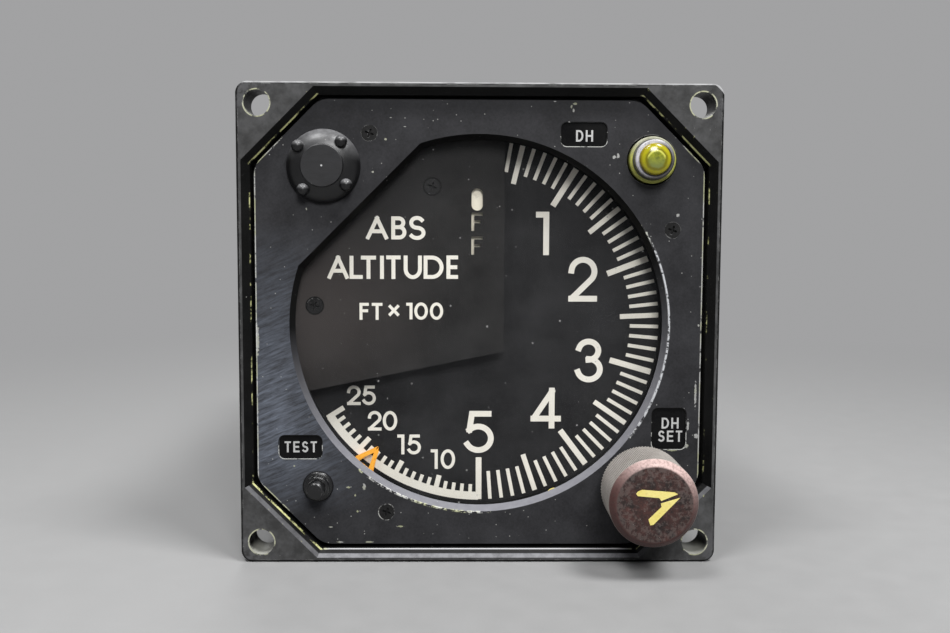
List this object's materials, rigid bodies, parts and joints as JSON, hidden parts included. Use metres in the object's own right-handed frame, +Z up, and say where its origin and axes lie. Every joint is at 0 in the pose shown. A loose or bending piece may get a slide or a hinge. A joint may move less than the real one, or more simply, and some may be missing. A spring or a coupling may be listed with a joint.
{
  "type": "aircraft altimeter",
  "caption": "Square panel-mounted radio altitude indicator: recessed glazed dial with decision-height bug and knob, test button, annunciator lamp, box case and rear connector",
  "frame": {"origin": "centre of the corner-hole pattern, on the bezel face that lies against the aircraft panel", "axes": "+X right and +Z up as the pilot sees the dial, +Y from the pilot into the panel"},
  "size_m": [0.0828, 0.1571, 0.0828],
  "materials": {
    "bezel_paint": "satin black enamel, worn bright at the edges",
    "panel_paint": "satin black enamel with a brushed sheen",
    "case_paint": "plain semi-gloss black",
    "black_screw": "black oxide",
    "steel": "plain steel",
    "plate_alu": "plain milled aluminium",
    "brass": "plain machined brass",
    "window": "clear flat glass",
    "gasket": "black rubber",
    "mask_paint": "matt black",
    "dial_paint": "matt black with ivory scale",
    "bug_orange": "orange",
    "ivory": "ivory",
    "motor_can": "plain can",
    "pot_body": "moulded body",
    "knob_brown": "worn brown finish",
    "cap_black": "satin black",
    "lamp_metal": "bright metal with a yellow-green tint",
    "lens_yellow": "yellow lens",
    "bulb": "clear",
    "button_black": "matt black",
    "moulding": "moulded black",
    "board": "green laminate",
    "connector_olive": "olive plated"
  },
  "bodies": {
    "indicator": {"bezel": "bezel_paint", "front_panel": "panel_paint", "panel_screws": "black_screw", "window_glass": "window", "window_gasket": "gasket", "mask": "mask_paint", "mask_spacers": "plate_alu", "mask_screws": "black_screw", "dial_plate": "dial_paint", "shaft_bearings": "brass", "servo_motor": "motor_can", "feedback_pot": "pot_body", "flag_actuator": "moulding", "knob_bushing": "plate_alu", "knob_nut": "steel", "dh_pot": "pot_body", "lamp_holder": "moulding", "lamp_bulb": "bulb", "dh_lamp_ring": "lamp_metal", "dh_lens": "lens_yellow", "dh_lamp_housing": "moulding", "dh_bulb": "bulb", "test_bushing": "cap_black", "test_switch": "moulding", "movement_plate": "plate_alu", "movement_screws": "steel", "rear_plate": "plate_alu", "plate_pillars": "plate_alu", "case": "case_paint", "case_screws": "black_screw", "chassis_rods": "steel", "board_spacers": "plate_alu", "servo_board": "board", "signal_board": "board", "rear_cover": "case_paint", "cover_screws": "steel", "connector_shell": "connector_olive", "connector_insert": "moulding", "connector_pins": "brass", "connector_screws": "steel"},
    "bug": {"bug_ring": "brass", "dh_bug": "bug_orange"},
    "setting_knob": {"knob": "knob_brown", "knob_shaft": "steel", "knob_pinion": "brass"},
    "pointer_train": {"pointer": "ivory", "pointer_shaft": "steel", "pointer_gear": "brass"},
    "motor_rotor": {"motor_pinion": "steel"},
    "off_flag": {"flag": "ivory", "flag_spindle": "steel"},
    "test_push": {"test_button": "button_black"},
    "lamp_cover": {"lamp_cap": "cap_black"}
  },
  "joints": [
    {"name": "bug_turn", "type": "hinge", "parent": "indicator", "child": "bug", "pos_m": [0, 0.00185, 0], "axis": [0, 1, 0], "range_deg": [-223.3, 18.8]},
    {"name": "knob_turn", "type": "hinge", "parent": "indicator", "child": "setting_knob", "pos_m": [0.0285, 0, -0.02801], "axis": [0, 1, 0], "range_deg": [-128, 1509]},
    {"name": "pointer_turn", "type": "hinge", "parent": "indicator", "child": "pointer_train", "pos_m": [0, 0.01, 0], "axis": [0, 1, 0], "range_deg": [-266.7, 0]},
    {"name": "motor_turn", "type": "hinge", "parent": "indicator", "child": "motor_rotor", "pos_m": [0, 0.021, -0.018], "axis": [0, 1, 0], "range_deg": [-2, 1335.5]},
    {"name": "flag_swing", "type": "hinge", "parent": "indicator", "child": "off_flag", "pos_m": [-0.01597, 0, 0.01798], "axis": [0, 1, 0], "range_deg": [0, 55], "stiffness_Nm_per_rad": 0.0002, "springref_deg": -28.65},
    {"name": "test_press", "type": "slide", "parent": "indicator", "child": "test_push", "axis": [0, 1, 0], "range_m": [0, 0.002], "stiffness_N_per_m": 800, "springref_m": -0.0005},
    {"name": "lamp_cap_turn", "type": "hinge", "parent": "indicator", "child": "lamp_cover", "pos_m": [-0.02683, -0.005, 0.0273], "axis": [0, 1, 0], "range_deg": [-90, 0]}
  ],
  "couplings": [
    {"joint": "knob_turn", "follows": "bug_turn", "ratio": -6.75},
    {"joint": "motor_turn", "follows": "pointer_turn", "ratio": -5}
  ]
}
